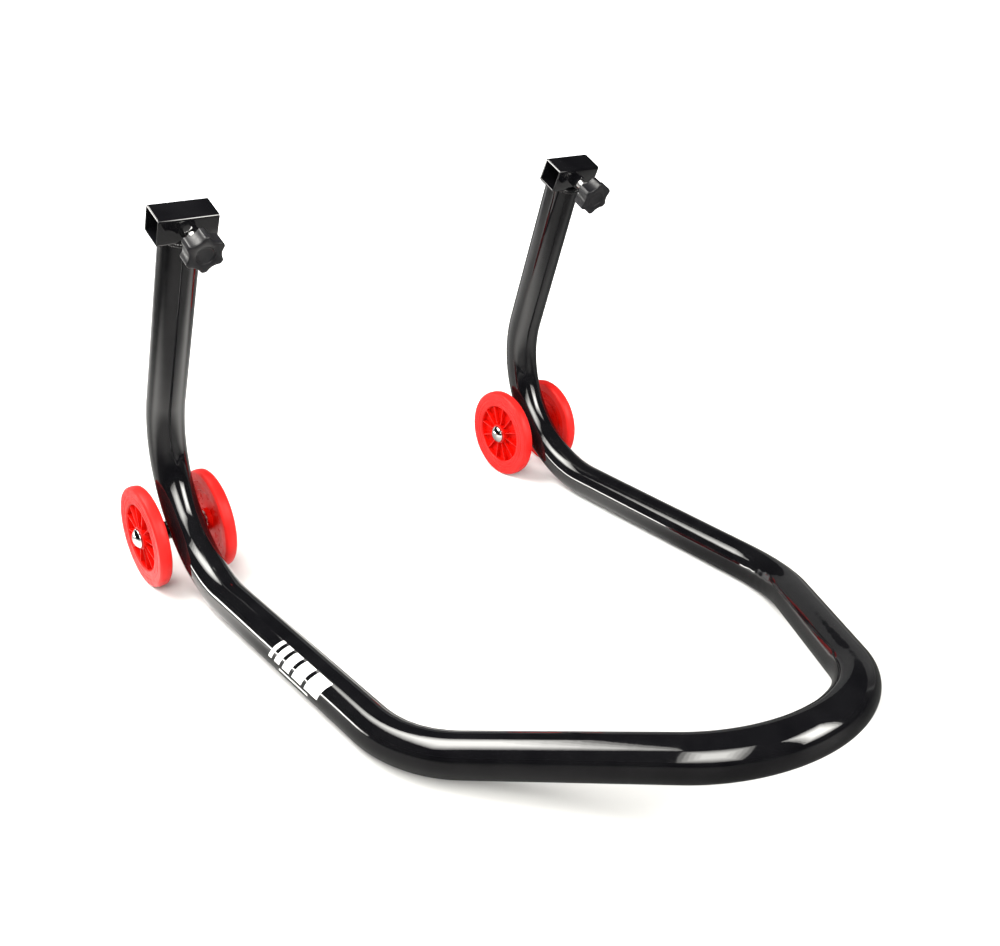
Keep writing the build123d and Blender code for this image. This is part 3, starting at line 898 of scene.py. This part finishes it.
# Painted shade on the floor: how its tone changes along a level direction, darker towards the
# camera's side: distance in metres, grey value.
VIEW_WAY = (0.61, 0.79)
PAINTED_SHADE_FLOOR_TONES = ((-0.9, 0.06), (-0.6, 0.12), (-0.42, 0.6), (0.3, 0.72), (1.0, 0.85))
# Painted glow: the floor's own emission, rising with distance along the same direction, at this
# strength.
FLOOR_PAINTED_GLOW = ((0.15, 0.0), (0.7, 0.45), (1.8, 1.0))
PAINTED_GLOW_STRENGTH = 1.3
# The same for the painted reflection: tones that only glossy rays see on the floor, darker than
# the floor itself.
PAINTED_REFLECTION_WAY = (0.25, 0.97)
PAINTED_REFLECTION_TONES = (
    (-0.6, 0.02),
    (-0.36, 0.04),
    (-0.2, 0.12),
    (0.03, 0.18),
    (0.2, 1.0),
    (0.36, 0.35),
    (1.2, 0.6),
)
# Painted reflection across the stand, multiplied into the tones above.
PAINTED_REFLECTION_ACROSS_WAY = (1, 0)
PAINTED_REFLECTION_ACROSS_TONES = ((-0.8, 0.06), (-0.42, 1.0), (0.0, 1.0), (0.3, 0.35), (0.8, 0.15))

LIGHT_COLOUR = (1.0, 0.985, 0.94)
LIGHT_LAYERS = (1.0, 0.84, 0.68, 0.52, 0.36)
LAYER_GAP = 4 * MM


def floor_painted_light_finish():
    """White board with painted shade and a painted glow that grows far away; glossy paint sees a
    painted reflection, darker than the board.
    """
    finish = Finish("floor_painted_light_finish", ior=1.3)
    finish.colour((0.97, 0.97, 0.97), (1.0, 1.0, 1.0), 6)
    finish.roughness(0.5, 0.6, 8)
    finish.bump(700, 0.01 * MM)
    grain = finish.shader.inputs["Base Color"].links[0].from_socket
    # Painted reflection: glossy rays get darker painted tones than camera rays, in colour and in
    # glow.
    rays = finish.tree.nodes.new("ShaderNodeLightPath")
    ahead = slope(finish, PAINTED_REFLECTION_WAY, PAINTED_REFLECTION_TONES)
    across = slope(finish, PAINTED_REFLECTION_ACROSS_WAY, PAINTED_REFLECTION_ACROSS_TONES)
    painted_reflection = mixed(finish, "MULTIPLY", ahead, across).outputs["Color"]
    tones = mixed(finish, "MIX", slope(finish, VIEW_WAY, PAINTED_SHADE_FLOOR_TONES), painted_reflection)
    finish.tree.links.new(rays.outputs["Is Glossy Ray"], tones.inputs["Fac"])
    shade = mixed(finish, "MULTIPLY", grain, tones.outputs["Color"])
    finish.tree.links.new(shade.outputs["Color"], finish.shader.inputs["Base Color"])
    painted_glow = slope(finish, VIEW_WAY, FLOOR_PAINTED_GLOW)
    painted_glow_seen_in_reflection = mixed(finish, "MULTIPLY", painted_glow, painted_reflection)
    finish.tree.links.new(rays.outputs["Is Glossy Ray"], painted_glow_seen_in_reflection.inputs["Fac"])
    finish.tree.links.new(painted_glow_seen_in_reflection.outputs["Color"], finish.shader.inputs["Emission Color"])
    finish.shader.inputs["Emission Strength"].default_value = PAINTED_GLOW_STRENGTH
    return finish.material


def mixed(finish, blend, first, second):
    """A colour-mixing node at full strength."""
    mixer = finish.tree.nodes.new("ShaderNodeMixRGB")
    mixer.blend_type = blend
    mixer.inputs["Fac"].default_value = 1.0
    finish.tree.links.new(first, mixer.inputs["Color1"])
    finish.tree.links.new(second, mixer.inputs["Color2"])
    return mixer


def slope(finish, way, tones):
    """Grey tones along a level direction, blended smoothly between the given distances."""
    nearest, furthest = tones[0][0], tones[-1][0]
    along = finish.tree.nodes.new("ShaderNodeVectorMath")
    along.operation = "DOT_PRODUCT"
    along.inputs[1].default_value = (*way, 0)
    finish.tree.links.new(finish.coordinates, along.inputs[0])
    spread = finish.tree.nodes.new("ShaderNodeMapRange")
    spread.inputs["From Min"].default_value = nearest
    spread.inputs["From Max"].default_value = furthest
    finish.tree.links.new(along.outputs["Value"], spread.inputs["Value"])
    ramp = finish.tree.nodes.new("ShaderNodeValToRGB")
    ramp.color_ramp.interpolation = "EASE"
    stops = ramp.color_ramp.elements
    for distance, _ in tones[1:-1]:
        stops.new((distance - nearest) / (furthest - nearest))
    for stop, (_, grey) in zip(stops, tones):
        stop.color = (grey, grey, grey, 1)
    finish.tree.links.new(spread.outputs["Result"], ramp.inputs["Fac"])
    return ramp.outputs["Color"]


def backdrop():
    """A white floor, with painted shade and a painted glow in its finish, that curves up into a
    low wall a few metres away all round.
    """
    around = 96
    level = [(0.02, 0.0), (1.0, 0.0), (2.2, 0.0)]
    curve = [(2.6, 0.03), (2.9, 0.12), (3.1, 0.3), (3.2, 0.6), (3.25, 1.0)]
    bm = bmesh.new()
    rings = [circle_ring(radius, height, around) for radius, height in level + curve]
    rows = [[bm.verts.new(point) for point in ring] for ring in rings]
    for first, second in zip(rows, rows[1:]):
        for k in range(around):
            after = (k + 1) % around
            bm.faces.new((first[k], first[after], second[after], second[k]))
    bm.faces.new(rows[0])
    floor = new_piece("floor", bm, sharp=math.pi)
    floor.data.materials.append(floor_painted_light_finish())


def softbox(name, azimuth, elevation, distance, width, height, radiance, aim=(0, 0, 0.12)):
    """Light with soft borders, as nested rectangles. Azimuth is from +Y towards +X."""
    turn, lift = math.radians(azimuth), math.radians(elevation)
    level = math.cos(lift)
    way = Vector((math.sin(turn) * level, math.cos(turn) * level, math.sin(lift)))
    for layer, share in enumerate(LIGHT_LAYERS):
        light = bpy.data.lights.new(f"{name}_{layer}", "AREA")
        light.shape = "RECTANGLE"
        light.size, light.size_y = width * share, height * share
        light.color = LIGHT_COLOUR
        light.energy = radiance / len(LIGHT_LAYERS) * math.pi * light.size * light.size_y
        lamp = bpy.data.objects.new(f"{name}_{layer}", light)
        lamp.location = Vector(aim) + way * (distance - LAYER_GAP * layer)
        lamp.rotation_mode = "QUATERNION"
        lamp.rotation_quaternion = way.to_track_quat("Z", "Y")
        bpy.context.scene.collection.objects.link(lamp)


def camera():
    """The photograph's viewpoint: a little left of the stand, a hand's height above its arms."""
    data = bpy.data.cameras.new("camera")
    data.lens = 39.3
    data.sensor_width = 36
    data.clip_start, data.clip_end = 0.02, 50
    view = bpy.data.objects.new("camera", data)
    view.location = (-0.55157, -0.66050, 0.52949)
    view.rotation_euler = (math.radians(90 - 23.99), 0, math.radians(-37.85))
    bpy.context.scene.collection.objects.link(view)
    bpy.context.scene.camera = view


def surroundings():
    """A dim studio: nearly black above, so that the paint reflects only the soft boxes."""
    world = bpy.data.worlds.new("studio")
    world.use_nodes = True
    sky = world.node_tree.nodes["Background"]
    sky.inputs["Color"].default_value = (0.02, 0.02, 0.022, 1)
    sky.inputs["Strength"].default_value = 1.0
    bpy.context.scene.world = world


backdrop()
softbox("overhead_box", -50, 55, 1.4, 1.4, 0.8, 22)
softbox("camera_box", -138, 36, 1.75, 1.2, 1.5, 17)
softbox("side_box", 154, 30, 2.5, 1.3, 1.6, 26)
softbox("horizon_strip", -42, 3.2, 2.4, 1.8, 0.24, 30, aim=(0, 0, 0))
surroundings()
camera()
bpy.context.scene.view_settings.view_transform = "Standard"
